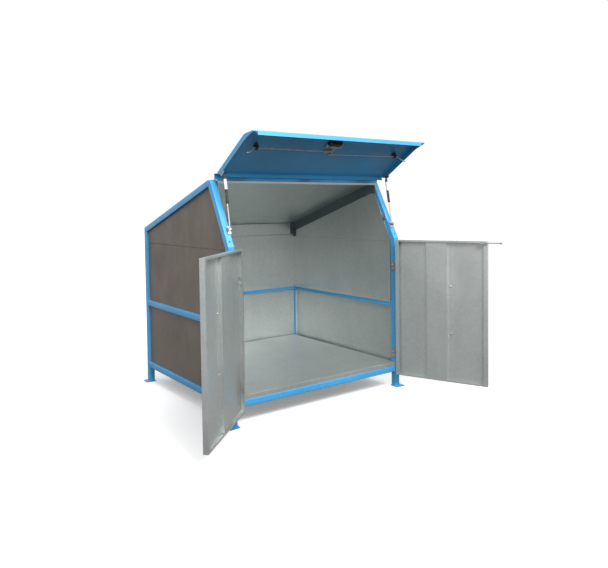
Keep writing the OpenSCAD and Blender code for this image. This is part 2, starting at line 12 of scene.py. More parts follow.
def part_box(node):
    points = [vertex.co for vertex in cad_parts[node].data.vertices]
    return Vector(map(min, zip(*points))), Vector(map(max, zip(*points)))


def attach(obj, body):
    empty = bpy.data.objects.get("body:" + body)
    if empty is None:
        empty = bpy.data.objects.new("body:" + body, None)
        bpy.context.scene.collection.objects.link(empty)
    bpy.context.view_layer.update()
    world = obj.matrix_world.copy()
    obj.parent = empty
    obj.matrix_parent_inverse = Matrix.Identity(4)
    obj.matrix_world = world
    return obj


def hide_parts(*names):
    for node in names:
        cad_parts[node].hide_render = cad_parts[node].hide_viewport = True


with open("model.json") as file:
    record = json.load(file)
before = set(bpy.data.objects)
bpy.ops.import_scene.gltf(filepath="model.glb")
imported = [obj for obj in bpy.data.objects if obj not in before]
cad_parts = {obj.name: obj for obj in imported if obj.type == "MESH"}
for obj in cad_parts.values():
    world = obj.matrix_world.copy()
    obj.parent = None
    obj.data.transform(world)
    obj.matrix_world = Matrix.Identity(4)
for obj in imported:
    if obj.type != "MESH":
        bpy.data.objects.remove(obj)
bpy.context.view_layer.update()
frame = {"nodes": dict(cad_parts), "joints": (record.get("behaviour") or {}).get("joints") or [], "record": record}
NODES = frame["nodes"]

MM = 0.001

# ---------------------------------------------------------------- dimensions

TUBE = 40 * MM
CORNER_R = 4 * MM
CORNER_STEPS = 5
FRONT_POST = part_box("front_left_post")
REAR_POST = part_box("rear_left_post")
HALF_W = -FRONT_POST[0].x
HALF_D = -FRONT_POST[0].y
INNER_X = HALF_W - TUBE
FOOT_TOP = FRONT_POST[0].z
KNEE_Z = FRONT_POST[1].z
REAR_Z = REAR_POST[1].z
PEAK_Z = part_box("left_peak_tube")[1].z
PEAK_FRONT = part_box("left_slope_tube")[1].y
PEAK_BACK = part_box("left_roof_tube")[0].y
SIDE_RAIL_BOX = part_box("left_side_rails")
BOTTOM_RAIL_Z = SIDE_RAIL_BOX[0].z
MID_RAIL_Z = SIDE_RAIL_BOX[1].z - TUBE
REAR_TOP_RAIL_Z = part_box("rear_rails")[1].z - TUBE

PAINTED_PANELS = (
    "left_lower_panel", "right_lower_panel", "left_upper_panel", "right_upper_panel",
    "left_gable_panel", "right_gable_panel", "rear_lower_panel", "rear_upper_panel",
)

JOINTS = {joint["name"]: joint for joint in frame["joints"]}
LID_PIVOT = Vector(JOINTS["lid_hinge"]["pos_m"])
LID_OPEN = math.radians(31.8)  # above the horizontal, at rest
LEFT_OPEN = math.radians(JOINTS["left_door_hinge"]["range_deg"][1])
RIGHT_OPEN = math.radians(JOINTS["right_door_hinge"]["range_deg"][1])
LEFT_PIN = Vector(JOINTS["left_door_hinge"]["pos_m"])
RIGHT_PIN = Vector(JOINTS["right_door_hinge"]["pos_m"])

# ---------------------------------------------------------------- colours (linear)

BLUE = (0.045, 0.30, 0.58)
TAUPE = (0.138, 0.114, 0.094)
GALV = (0.57, 0.60, 0.585)
ZINC = (0.56, 0.57, 0.58)
BLACK = (0.018, 0.018, 0.020)
RUBBER = (0.020, 0.020, 0.020)
# painted shade: the inside trims' grey-green, set as dark as the shaded band under the roof tubes and in the rear
# corner
TRIM_PAINTED_SHADE = (0.078, 0.105, 0.108)
CHROME = (0.82, 0.83, 0.84)
LABEL = (0.80, 0.81, 0.79)
GRIME = (0.16, 0.15, 0.135)
DUST = (0.20, 0.19, 0.18)

CRYSTALS_PER_M = 75.0
CRYSTAL_WARP = 0.012


# ---------------------------------------------------------------- materials

def new_material(name):
    """A material with its shader node and a coordinate output that moves with the piece."""
    material = bpy.data.materials.new(name)
    material.use_nodes = True
    tree = material.node_tree
    shader = tree.nodes["Principled BSDF"]
    coords = tree.nodes.new("ShaderNodeTexCoord").outputs["Object"]
    return material, tree, shader, coords


def noise(tree, coords, scale, detail=3.0, rough=0.5, stretch=None):
    """Noise texture at a scale in cycles per metre, optionally stretched along the axes."""
    if stretch:
        mapping = tree.nodes.new("ShaderNodeMapping")
        mapping.inputs["Scale"].default_value = stretch
        tree.links.new(coords, mapping.inputs["Vector"])
        coords = mapping.outputs["Vector"]
    node = tree.nodes.new("ShaderNodeTexNoise")
    node.inputs["Scale"].default_value = scale
    node.inputs["Detail"].default_value = detail
    node.inputs["Roughness"].default_value = rough
    tree.links.new(coords, node.inputs["Vector"])
    return node.outputs["Fac"]


def voronoi(tree, coords, scale):
    """A random colour for each cell of a Voronoi pattern, scale in cells per metre."""
    node = tree.nodes.new("ShaderNodeTexVoronoi")
    node.inputs["Scale"].default_value = scale
    tree.links.new(coords, node.inputs["Vector"])
    return node.outputs["Color"]


def span(tree, value, low, high, to_low, to_high):
    """Maps a value from one range to another, clamped."""
    node = tree.nodes.new("ShaderNodeMapRange")
    node.inputs["From Min"].default_value = low
    node.inputs["From Max"].default_value = high
    node.inputs["To Min"].default_value = to_low
    node.inputs["To Max"].default_value = to_high
    tree.links.new(value, node.inputs["Value"])
    return node.outputs["Result"]


def blend_colour(tree, factor, first, second):
    """Mixes two colours by a factor socket. Each colour is a tuple or a socket."""
    node = tree.nodes.new("ShaderNodeMix")
    node.data_type = "RGBA"
    for socket, colour in ((6, first), (7, second)):
        if isinstance(colour, tuple):
            node.inputs[socket].default_value = (*colour, 1.0)
        else:
            tree.links.new(colour, node.inputs[socket])
    tree.links.new(factor, node.inputs[0])
    return node.outputs[2]


def combine(tree, operation, first, second):
    """One Math node on two sockets."""
    node = tree.nodes.new("ShaderNodeMath")
    node.operation = operation
    tree.links.new(first, node.inputs[0])
    tree.links.new(second, node.inputs[1])
    return node.outputs[0]


def bump(tree, shader, height, strength, distance):
    """Bumps the shader's normal by a height socket, distance in metres."""
    node = tree.nodes.new("ShaderNodeBump")
    node.inputs["Strength"].default_value = strength
    node.inputs["Distance"].default_value = distance
    tree.links.new(height, node.inputs["Height"])
    tree.links.new(node.outputs["Normal"], shader.inputs["Normal"])


def shade(colour, factor):
    """A colour made darker or lighter, kept at 1 or below."""
    return tuple(min(1.0, c * factor) for c in colour)


def edge_mask(tree, radius):
    """1 near an outside or inside edge of the mesh, 0 on the flats."""
    bevel = tree.nodes.new("ShaderNodeBevel")
    bevel.samples = 4
    bevel.inputs["Radius"].default_value = radius
    geometry = tree.nodes.new("ShaderNodeNewGeometry")
    dot = tree.nodes.new("ShaderNodeVectorMath")
    dot.operation = "DOT_PRODUCT"
    tree.links.new(bevel.outputs["Normal"], dot.inputs[0])
    tree.links.new(geometry.outputs["Normal"], dot.inputs[1])
    return span(tree, dot.outputs["Value"], 0.985, 0.90, 0.0, 1.0)


def powder_coat(name, colour, roughness, wear=0.35, coat=0.0):
    """Powder coat: orange-peel bump, cloudy tone, dust specks, and rubbed edges."""
    material, tree, shader, coords = new_material(name)
    cloud = span(tree, noise(tree, coords, 2.2, 4.0), 0.30, 0.70, 0.0, 1.0)
    tone = blend_colour(tree, cloud, shade(colour, 0.90), shade(colour, 1.10))
    streak = span(tree, noise(tree, coords, 9.0, 4.0, 0.6, (1.0, 1.0, 0.12)),
                  0.50, 0.78, 0.0, 0.22)
    grey = tuple(0.55 * c + 0.45 * 0.30 for c in colour)
    tone = blend_colour(tree, streak, tone, grey)
    speck = span(tree, noise(tree, coords, 240.0, 2.0), 0.68, 0.76, 0.0, 0.35)
    tone = blend_colour(tree, speck, tone, shade(colour, 1.35))
    rub = combine(tree, "MULTIPLY", edge_mask(tree, 1.6 * MM),
                  span(tree, noise(tree, coords, 45.0, 4.0), 0.48, 0.66, 0.0, wear))
    tone = blend_colour(tree, rub, tone, tuple(0.45 * c + 0.35 for c in colour))
    tree.links.new(tone, shader.inputs["Base Color"])
    smudge = span(tree, noise(tree, coords, 6.0, 5.0, 0.65), 0.35, 0.70,
                  roughness - 0.07, roughness + 0.12)
    tree.links.new(smudge, shader.inputs["Roughness"])
    shader.inputs["Coat Weight"].default_value = coat
    shader.inputs["Coat Roughness"].default_value = 0.20
    bump(tree, shader, noise(tree, coords, 420.0, 2.0), 0.16, 0.25 * MM)
    return material


def galvanised(name, colour, metallic, low_rough, high_rough, contrast):
    """Galvanised sheet: faint crystals, white bloom and stains in its colour.

    Roughness and bump vary slowly, because fine ones make specks under small bright lights.
    """
    material, tree, shader, coords = new_material(name)
    warp = tree.nodes.new("ShaderNodeTexNoise")
    warp.inputs["Scale"].default_value = 30.0
    tree.links.new(coords, warp.inputs["Vector"])
    shift = tree.nodes.new("ShaderNodeMix")
    shift.data_type = "VECTOR"
    shift.inputs[0].default_value = CRYSTAL_WARP
    tree.links.new(coords, shift.inputs[4])
    tree.links.new(warp.outputs["Color"], shift.inputs[5])
    grey = tree.nodes.new("ShaderNodeSeparateColor")
    tree.links.new(voronoi(tree, shift.outputs[1], CRYSTALS_PER_M), grey.inputs[0])
    tone = blend_colour(tree, grey.outputs[0],
                        shade(colour, 1.0 - contrast), shade(colour, 1.0 + contrast))
    cloud = span(tree, noise(tree, coords, 3.0, 5.0, 0.6), 0.38, 0.72, 0.0, 0.45)
    tone = blend_colour(tree, cloud, tone, shade(colour, 1.18))
    stain = span(tree, noise(tree, coords, 6.0, 3.0, 0.5, (1.0, 1.0, 0.25)),
                 0.50, 0.80, 0.0, 0.35)
    tone = blend_colour(tree, stain, tone, shade(colour, 0.84))
    tree.links.new(tone, shader.inputs["Base Color"])
    shader.inputs["Metallic"].default_value = metallic
    gloss = span(tree, noise(tree, coords, 3.0, 1.0), 0.3, 0.7, low_rough, high_rough)
    tree.links.new(gloss, shader.inputs["Roughness"])
    bump(tree, shader, noise(tree, coords, 2.5, 2.0), 0.5, 9.0 * MM)
    return material


def zinc_plate(name, colour, rough):
    """Zinc-plated steel with patches of grime."""
    material, tree, shader, coords = new_material(name)
    tone = blend_colour(tree, span(tree, noise(tree, coords, 60.0, 4.0), 0.35, 0.7, 0.0, 1.0),
                        shade(colour, 0.78), shade(colour, 1.08))
    grime = span(tree, noise(tree, coords, 22.0, 5.0, 0.7), 0.52, 0.74, 0.0, 0.5)
    tone = blend_colour(tree, grime, tone, GRIME)
    tree.links.new(tone, shader.inputs["Base Color"])
    shader.inputs["Metallic"].default_value = 0.9
    tree.links.new(span(tree, noise(tree, coords, 90.0, 4.0), 0.3, 0.7, rough, rough + 0.22),
                   shader.inputs["Roughness"])
    bump(tree, shader, noise(tree, coords, 600.0, 2.0), 0.2, 0.12 * MM)
    return material


def moulded(name, colour, rough, grain=900.0, depth=0.10):
    """Grained plastic, rubber or paint: grain in cycles per metre, its depth in millimetres."""
    material, tree, shader, coords = new_material(name)
    tone = blend_colour(tree, span(tree, noise(tree, coords, 30.0, 4.0), 0.35, 0.7, 0.0, 1.0),
                        shade(colour, 0.75), shade(colour, 1.7))
    dust = span(tree, noise(tree, coords, 140.0, 3.0), 0.60, 0.75, 0.0, 0.20)
    tone = blend_colour(tree, dust, tone, DUST)
    tree.links.new(tone, shader.inputs["Base Color"])
    smudge = span(tree, noise(tree, coords, 55.0, 4.0), 0.3, 0.7, rough - 0.06, rough + 0.12)
    tree.links.new(smudge, shader.inputs["Roughness"])
    bump(tree, shader, noise(tree, coords, grain, 2.0), 0.35, depth * MM)
    return material


def polished(name, colour):
    """Chromed steel under a thin uneven film."""
    material, tree, shader, coords = new_material(name)
    film = span(tree, noise(tree, coords, 120.0, 3.0, 0.5, (1.0, 1.0, 0.1)),
                0.4, 0.75, 0.0, 0.6)
    tree.links.new(blend_colour(tree, film, colour, shade(colour, 0.7)),
                   shader.inputs["Base Color"])
    shader.inputs["Metallic"].default_value = 1.0
    tree.links.new(span(tree, noise(tree, coords, 300.0, 3.0), 0.3, 0.7, 0.07, 0.18),
                   shader.inputs["Roughness"])
    return material


MATERIALS = {
    "frame_blue": powder_coat("powder_blue", BLUE, 0.40, coat=0.20),
    "panel_taupe": powder_coat("powder_taupe", TAUPE, 0.50, wear=0.15),
    "galvanised": galvanised("galvanised_sheet", GALV, 0.82, 0.33, 0.40, 0.05),
    "bright_zinc": zinc_plate("zinc_plate", ZINC, 0.30),
    "black_plastic": moulded("black_moulding", BLACK, 0.48),
    "black_metal": moulded("black_gloss_paint", BLACK, 0.22, 500.0, 0.05),
    "chrome_rod": polished("chrome_rod", CHROME),
    # the trims' dark grey-green is painted shade, standing for the shade under the roof tubes and in the rear
    # corner
    "dark_trim": powder_coat("trim_grey_painted_shade", TRIM_PAINTED_SHADE, 0.42, wear=0.15),
}
BLACK_RUBBER = moulded("black_rubber", RUBBER, 0.75, 700.0, 0.2)
WHITE_LABEL = moulded("white_label", LABEL, 0.45, 800.0, 0.05)
WELD = powder_coat("powder_blue_weld", BLUE, 0.40, wear=0.2, coat=0.20)

for entry in frame["record"]["subparts"]:
    node = NODES[entry["node"]]
    node.data.materials.clear()
    node.data.materials.append(MATERIALS[entry["material_slot"]])

# The panels are painted outside and bare galvanised inside
for node_name in PAINTED_PANELS:
    mesh = NODES[node_name].data
    mesh.materials.append(MATERIALS["galvanised"])
    outer = max(abs(v.co.x) for v in mesh.vertices)
    back = max(v.co.y for v in mesh.vertices)
    for face in mesh.polygons:
        if node_name.startswith("rear"):
            outside = face.center.y > back - 1 * MM
        else:
            outside = abs(face.center.x) > outer - 1 * MM
        face.material_index = 0 if outside else 1

# The roof is painted on top and bare underneath
roof_mesh = NODES["roof_sheet"].data
roof_mesh.materials.append(MATERIALS["panel_taupe"])
for face in roof_mesh.polygons:
    face.material_index = 1 if face.normal.z > 0.5 else 0

# ---------------------------------------------------------------- mesh helpers

WELD_GAP = 0.02 * MM
BEAD_SIDES = 6
SOFT_ANGLE = math.radians(40.0)


def add_object(name, bm, material, body, smooth_angle=35.0):
    """Turns a bmesh into a piece that rides on a body."""
    bmesh.ops.recalc_face_normals(bm, faces=bm.faces)
    mesh = bpy.data.meshes.new(name)
    for face in bm.faces:
        face.smooth = True
    limit = math.radians(smooth_angle)
    for edge in bm.edges:
        if len(edge.link_faces) == 2 and edge.calc_face_angle(0.0) > limit:
            edge.smooth = False
    bm.to_mesh(mesh)
    bm.free()
    mesh.materials.append(material)
    piece = bpy.data.objects.new(name, mesh)
    bpy.context.scene.collection.objects.link(piece)
    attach(piece, body)
    return piece


def soften(node_name, width, segments=2):
    """Rounds a CAD node's sharp edges with modifiers, leaving its mesh as it is."""
    node = NODES[node_name]
    weld = node.modifiers.new("weld", "WELD")
    weld.merge_threshold = WELD_GAP
    bevel = node.modifiers.new("edges", "BEVEL")
    bevel.width = width
    bevel.segments = segments
    bevel.limit_method = "ANGLE"
    bevel.angle_limit = SOFT_ANGLE
    bevel.harden_normals = False
    normals = node.modifiers.new("normals", "WEIGHTED_NORMAL")
    normals.keep_sharp = False


def rounded_square(radius, steps):
    """Points of a unit square's outline with rounded corners, as (across, deep) pairs."""
    points = []
    for corner, (cx, cy) in enumerate(((1, 1), (0, 1), (0, 0), (1, 0))):
        for step in range(steps + 1):
            turn = math.radians(90 * corner + 90 * step / steps)
            ox = cx + (radius if cx == 0 else -radius)
            oy = cy + (radius if cy == 0 else -radius)
            points.append((ox + radius * math.cos(turn), oy + radius * math.sin(turn)))
    return points


PROFILE = rounded_square(CORNER_R / TUBE, CORNER_STEPS)


def tube_bmesh(outer_a, outer_b, inner_a, inner_b, across):
    """Square tube with rounded corners between two cut ends, as closed rings with end caps."""
    bm = bmesh.new()
    rings = []
    for share in (0.0, 1.0):
        ring = []
        for u, v in PROFILE:
            start = outer_a.lerp(inner_a, v)
            end = outer_b.lerp(inner_b, v)
            ring.append(bm.verts.new(start.lerp(end, share) + across * u))
        rings.append(ring)
    count = len(PROFILE)
    for i in range(count):
        k = (i + 1) % count
        bm.faces.new((rings[0][i], rings[0][k], rings[1][k], rings[1][i]))
    for ring in rings:
        bm.faces.new(ring)
    return bm


def weld_bead(bm, points, radius, seed):
    """A rippled bead along an open line of points, its ripple drawn from the seed."""
    rng = random.Random(seed)
    sides = BEAD_SIDES
    rings = []
    total = len(points)
    for i, point in enumerate(points):
        ahead = points[min(i + 1, total - 1)]
        behind = points[max(i - 1, 0)]
        along = (ahead - behind).normalized()
        side = along.orthogonal().normalized()
        other = along.cross(side)
        size = radius * (0.8 + 0.35 * (i % 2) + 0.15 * rng.random())
        ring = []
        for s in range(sides):
            turn = 2 * math.pi * s / sides
            spoke = side * math.cos(turn) + other * math.sin(turn)
            ring.append(bm.verts.new(point + spoke * size))
        rings.append(ring)
    for first, second in zip(rings, rings[1:]):
        nearest = min(range(sides), key=lambda k: (second[k].co - first[0].co).length)
        for s in range(sides):
            t = (s + 1) % sides
            bm.faces.new((first[s], first[t],
                          second[(t + nearest) % sides], second[(s + nearest) % sides]))
    bm.faces.new(rings[0])
    bm.faces.new(rings[-1])


def line_points(start, end, spacing):
    """Points from start to end, spaced evenly at no less than about the spacing."""
    count = max(2, int((end - start).length / spacing))
    return [start.lerp(end, i / count) for i in range(count + 1)]


# ---------------------------------------------------------------- frame tubes

def side_point(y, z):
    """A point of the frame's side outline."""
    return Vector((0.0, y, z))


def corner_inset(before, corner, after, depth):
    """The mitred inner point of a side outline's corner, depth inside it."""
    first = (corner - before).normalized()
    second = (after - corner).normalized()
    inward_a = Vector((0.0, first.z, -first.y))
    inward_b = Vector((0.0, second.z, -second.y))
    return corner + (inward_a + inward_b) * depth / (1.0 + inward_a.dot(inward_b))


FOOT_F = side_point(-HALF_D, FOOT_TOP)
KNEE = side_point(-HALF_D, KNEE_Z)
PEAK_A = side_point(PEAK_FRONT, PEAK_Z)
PEAK_B = side_point(PEAK_BACK, PEAK_Z)
REAR = side_point(HALF_D, REAR_Z)
FOOT_R = side_point(HALF_D, FOOT_TOP)
KNEE_IN = corner_inset(FOOT_F, KNEE, PEAK_A, TUBE)
PEAK_A_IN = corner_inset(KNEE, PEAK_A, PEAK_B, TUBE)
PEAK_B_IN = corner_inset(PEAK_A, PEAK_B, REAR, TUBE)
REAR_IN = corner_inset(PEAK_B, REAR, FOOT_R, TUBE)
FOOT_F_IN = FOOT_F + Vector((0, TUBE, 0))
FOOT_R_IN = FOOT_R - Vector((0, TUBE, 0))

SIDE_TUBES = {
    "front_{}_post": (FOOT_F, KNEE, FOOT_F_IN, KNEE_IN),
    "{}_slope_tube": (KNEE, PEAK_A, KNEE_IN, PEAK_A_IN),
    "{}_peak_tube": (PEAK_A, PEAK_B, PEAK_A_IN, PEAK_B_IN),
    "{}_roof_tube": (PEAK_B, REAR, PEAK_B_IN, REAR_IN),
    "rear_{}_post": (REAR, FOOT_R, REAR_IN, FOOT_R_IN),
}
ACROSS = Vector((TUBE, 0, 0))

for side, x0 in (("left", -HALF_W), ("right", INNER_X)):
    offset = Vector((x0, 0, 0))
    for pattern, ends in SIDE_TUBES.items():
        node_name = pattern.format(side)
        bm = tube_bmesh(*[end + offset for end in ends], ACROSS)
        piece = add_object("tube_" + node_name, bm, MATERIALS["frame_blue"],
                           "frame")
        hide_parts(node_name)
    for level, z0 in (("bottom", BOTTOM_RAIL_Z), ("middle", MID_RAIL_Z)):
        front, back = -HALF_D + TUBE, HALF_D - TUBE
        bm = tube_bmesh(Vector((x0, front, z0)), Vector((x0, back, z0)),
                        Vector((x0, front, z0 + TUBE)), Vector((x0, back, z0 + TUBE)), ACROSS)
        piece = add_object(f"tube_{side}_{level}_rail", bm, MATERIALS["frame_blue"],
                           "frame")
        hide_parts(f"{side}_side_rails")

CROSS_RAILS = (
    ("front_bottom", "front_bottom_rail", -HALF_D, BOTTOM_RAIL_Z),
    ("rear_bottom", "rear_rails", HALF_D - TUBE, BOTTOM_RAIL_Z),
    ("rear_middle", "rear_rails", HALF_D - TUBE, MID_RAIL_Z),
    ("rear_top", "rear_rails", HALF_D - TUBE, REAR_TOP_RAIL_Z),
)
for label, node_name, y0, z0 in CROSS_RAILS:
    bm = tube_bmesh(Vector((-INNER_X, y0, z0)), Vector((INNER_X, y0, z0)),
                    Vector((-INNER_X, y0, z0 + TUBE)), Vector((INNER_X, y0, z0 + TUBE)),
                    Vector((0, TUBE, 0)))
    piece = add_object(f"tube_{label}_rail", bm, MATERIALS["frame_blue"], "frame")
    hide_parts(node_name)

# Weld beads: rings round the mitres and lines where rails meet posts
BEAD_R = 1.3 * MM
BEAD_STEP = 4.0 * MM
MITRES = ((KNEE, KNEE_IN), (PEAK_A, PEAK_A_IN), (PEAK_B, PEAK_B_IN), (REAR, REAR_IN))


def frame_beads(side, x0, seed):
    """All beads of one side of the frame, each with its own seed."""
    bm = bmesh.new()
    inset = CORNER_R * 0.6
    for outer, inner in MITRES:
        for x in (x0, x0 + TUBE):
            start = outer.lerp(inner, 0.1) + Vector((x, 0, 0))
            end = outer.lerp(inner, 0.9) + Vector((x, 0, 0))
            weld_bead(bm, line_points(start, end, BEAD_STEP), BEAD_R, seed)
            seed += 1
        for point in (outer, inner):
            start = point + Vector((x0 + CORNER_R, 0, 0))
            end = point + Vector((x0 + TUBE - CORNER_R, 0, 0))
            weld_bead(bm, line_points(start, end, BEAD_STEP), BEAD_R * 0.8, seed)
            seed += 1
    for z0 in (BOTTOM_RAIL_Z, MID_RAIL_Z):
        for y in (-HALF_D + TUBE, HALF_D - TUBE):
            for x in (x0 + inset, x0 + TUBE - inset):
                start = Vector((x, y, z0 + CORNER_R))
                end = Vector((x, y, z0 + TUBE - CORNER_R))
                weld_bead(bm, line_points(start, end, BEAD_STEP), BEAD_R * 1.2, seed)
                seed += 1
            for z in (z0 + inset * 0.4, z0 + TUBE - inset * 0.4):
                start = Vector((x0 + CORNER_R, y, z))
                end = Vector((x0 + TUBE - CORNER_R, y, z))
                weld_bead(bm, line_points(start, end, BEAD_STEP), BEAD_R * 1.2, seed)
                seed += 1
    add_object(f"weld_beads_{side}", bm, WELD, "frame", 80.0)


frame_beads("left", -HALF_W, 10)
frame_beads("right", INNER_X, 200)

# ---------------------------------------------------------------- softened CAD nodes

for node_name in PAINTED_PANELS:
    soften(node_name, 0.9 * MM)
for node_name in ("foot_plates", "lock_case", "lock_handle"):
    soften(node_name, 1.4 * MM, 3)
for node_name in ("floor_tray", "floor_bearers", "roof_sheet", "hinge_rail", "left_lining",
                  "right_lining", "rear_lining", "strut_lid_plates"):
    soften(node_name, 0.8 * MM)
for node_name in ("lid_panel", "left_door_pan", "right_door_pan",
                  "left_door_stiffener", "right_door_stiffener"):
    soften(node_name, 0.6 * MM)
for node_name in ("lid_hinge_leaves", "lid_hinge_pins", "door_post_hinges", "left_door_hinges",
                  "right_door_hinges", "strut_brackets", "rod_catches", "lock_plate",
                  "lock_escutcheon", "rod_guides", "lock_cam", "lid_stops", "edge_trims",
                  "door_stop_bar", "left_strut_rod", "right_strut_rod",
                  "left_strut_cylinder", "right_strut_cylinder"):
    soften(node_name, 0.5 * MM)

# ---------------------------------------------------------------- fasteners

SUNK = 0.2 * MM  # how far a head reaches into what it sits on
WASHER_TOP = 0.9 * MM


def lathe(bm, matrix, outline, segments=24):
    """Adds a form turned from (radius, height) pairs about the local Z axis."""
    rings = []
    for radius, height in outline:
        if radius == 0:
            rings.append([bm.verts.new(matrix @ Vector((0, 0, height)))])
            continue
        rings.append([bm.verts.new(matrix @ Vector((
            radius * math.cos(2 * math.pi * s / segments),
            radius * math.sin(2 * math.pi * s / segments), height))) for s in range(segments)])
    for first, second in zip(rings, rings[1:]):
        for s in range(segments):
            t = (s + 1) % segments
            if len(first) == 1 and len(second) > 1:
                bm.faces.new((first[0], second[t], second[s]))
            elif len(second) == 1 and len(first) > 1:
                bm.faces.new((first[s], first[t], second[0]))
            elif len(first) > 1:
                bm.faces.new((first[s], first[t], second[t], second[s]))


def hexagon(bm, matrix, across_flats, height, chamfer):
    """Hexagon head with a chamfered top."""
    radius = across_flats / math.sqrt(3)
    rings = []
    for scale, level in ((1.0, 0.0), (1.0, height - chamfer), (0.90, height)):
        rings.append([bm.verts.new(matrix @ Vector((
            radius * scale * math.cos(math.pi * s / 3),
            radius * scale * math.sin(math.pi * s / 3), level))) for s in range(6)])
    for first, second in zip(rings, rings[1:]):
        for s in range(6):
            t = (s + 1) % 6
            bm.faces.new((first[s], first[t], second[t], second[s]))
    bm.faces.new(rings[0])
    bm.faces.new(rings[-1])


def dome(radius, height, washer=0.0):
    """Outline of a domed screw head, on a flat washer when one is given."""
    points = [(0, -SUNK)]
    if washer:
        points += [(washer, -SUNK), (washer, WASHER_TOP), (radius, WASHER_TOP)]
        base = WASHER_TOP
    else:
        points += [(radius, -SUNK)]
        base = 0.0
    points.append((radius, base + 0.15 * height))
    for step in range(1, 6):
        turn = math.radians(90 * step / 6)
        points.append((radius * math.cos(turn), base + height * (0.15 + 0.85 * math.sin(turn))))
    points.append((0, base + height))
    return points


def facing(position, direction):
    """A frame at position whose Z axis points along direction."""
    turn = Vector(direction).normalized().to_track_quat("Z", "Y").to_matrix().to_4x4()
    return Matrix.Translation(position) @ turn


def door_matrix(side):
    """From a door's closed, pin-centred coordinates to the open rest pose."""
    if side == "left":
        return (Matrix.Translation((LEFT_PIN.x, LEFT_PIN.y, 0))
                @ Matrix.Rotation(-LEFT_OPEN, 4, "Z"))
    return (Matrix.Translation((RIGHT_PIN.x, RIGHT_PIN.y, 0))
            @ Matrix.Rotation(RIGHT_OPEN, 4, "Z") @ Matrix.Diagonal((-1, 1, 1, 1)))


LID_MATRIX = Matrix.Translation(LID_PIVOT) @ Matrix.Rotation(-LID_OPEN, 4, "X")

DOOR_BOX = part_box("left_door_pan")
DOOR_Z0, DOOR_Z1 = DOOR_BOX[0].z, DOOR_BOX[1].z
HINGE_Z = (235 * MM, 845 * MM)
BOLT_DZ = 13 * MM
BOLT_FACE = (4.5 * MM, 18 * MM)  # the door leaf's face, from the pin
BOLT_WASHER_R = 7.5 * MM
BOLT_WASHER_TOP = 1.2 * MM
STIFF_SCREW_X = 382 * MM
STIFF_SCREW_RISE = (315 * MM, 630 * MM)
SHEET_BACK = 3.0 * MM
POST_LEAF_FACE = (0.5 * MM, 49 * MM)  # the post leaf's face, from the pin

for side in ("left", "right"):
    place = door_matrix(side)
    bm = bmesh.new()
    for rise in STIFF_SCREW_RISE:
        lathe(bm, place @ facing((STIFF_SCREW_X, SHEET_BACK, DOOR_Z0 + rise), (0, 1, 0)),
              dome(5.4 * MM, 3.0 * MM, 8.0 * MM))
    for z in HINGE_Z:
        for dz in (-BOLT_DZ, BOLT_DZ):
            spot = place @ facing((*BOLT_FACE, z + dz), (1, 0, 0))
            lathe(bm, spot, [(0, -SUNK), (BOLT_WASHER_R, -SUNK),
                             (BOLT_WASHER_R, BOLT_WASHER_TOP), (0, BOLT_WASHER_TOP)])
            hexagon(bm, spot @ Matrix.Translation((0, 0, 1.1 * MM)), 10 * MM, 3.6 * MM, 0.8 * MM)
    piece = add_object(f"{side}_door_bolts", bm, MATERIALS["bright_zinc"],
                       f"{side}_door")
    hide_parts(f"{side}_door_screws")

# Bolt heads on the post leaves of the door hinges
bm = bmesh.new()
for sign, pin in ((1, LEFT_PIN), (-1, RIGHT_PIN)):
    for z in HINGE_Z:
        for dz in (-BOLT_DZ, BOLT_DZ):
            spot = facing((pin.x + sign * POST_LEAF_FACE[0], pin.y + POST_LEAF_FACE[1], z + dz),
                          (sign, 0, 0))
            hexagon(bm, spot, 8.4 * MM, 2.2 * MM, 0.6 * MM)
add_object("post_hinge_bolts", bm, MATERIALS["bright_zinc"], "frame")

# Lid hinges, in millimetres across and along the leaves
LID_HINGE_X = (-500, 0, 500)
LEAF_X = 33.25
LEAF_SCREW_Y = (-18, -34)
RAIL_SCREW_X = 11
RAIL_SCREW_Y = 22
LEAF_TOP = 3.5
HINGE_SCREW = dome(4.2 * MM, 2.2 * MM)

bm = bmesh.new()
for x in LID_HINGE_X:
    for dx in (-LEAF_X, LEAF_X):
        for y in LEAF_SCREW_Y:
            spot = (x + dx) * MM, y * MM, LEAF_TOP * MM
            lathe(bm, LID_MATRIX @ facing(spot, (0, 0, 1)), HINGE_SCREW)
add_object("lid_hinge_screws", bm, MATERIALS["bright_zinc"], "lid")

bm = bmesh.new()
for x in LID_HINGE_X:
    for dx in (-RAIL_SCREW_X, RAIL_SCREW_X):
        spot = (x + dx) * MM, LID_PIVOT.y + RAIL_SCREW_Y * MM, LID_PIVOT.z + LEAF_TOP * MM
        lathe(bm, facing(spot, (0, 0, 1)), HINGE_SCREW)
add_object("hinge_rail_screws", bm, MATERIALS["bright_zinc"], "frame")

# ---------------------------------------------------------------- folded lips of the linings

LIP_THICK = 4.4 * MM
LIP_LOW = 591 * MM
LIP_HIGH = 623 * MM
LIP_END = 46 * MM
LIP_GAP = 0.3 * MM
LIP_CORNER = 8 * MM
LIP_CLEAR = 6 * MM
FOLD_STEPS = 8


def folded_lip(bm, place, length):
    """A strip with a round folded lower edge: z up, thickness along +x, length along +y."""
    r = LIP_THICK / 2
    outline = [(0.0, LIP_HIGH), (0.0, LIP_LOW + r)]
    for k in range(1, FOLD_STEPS):
        turn = math.pi * k / FOLD_STEPS
        outline.append((r - r * math.cos(turn), LIP_LOW + r - r * math.sin(turn)))
    outline += [(LIP_THICK, LIP_LOW + r), (LIP_THICK, LIP_HIGH)]
    ends = [[bm.verts.new(place @ Vector((x, y, z))) for x, z in outline] for y in (0.0, length)]
    count = len(outline)
    for k in range(count):
        t = (k + 1) % count
        bm.faces.new((ends[0][k], ends[0][t], ends[1][t], ends[1][k]))
    bm.faces.new(ends[0])
    bm.faces.new(ends[1])


LIP_REAR_Y = HALF_D - TUBE - LIP_GAP
LIP_SIDE_X = INNER_X - LIP_GAP
LIP_FRONT_Y = -HALF_D + LIP_END

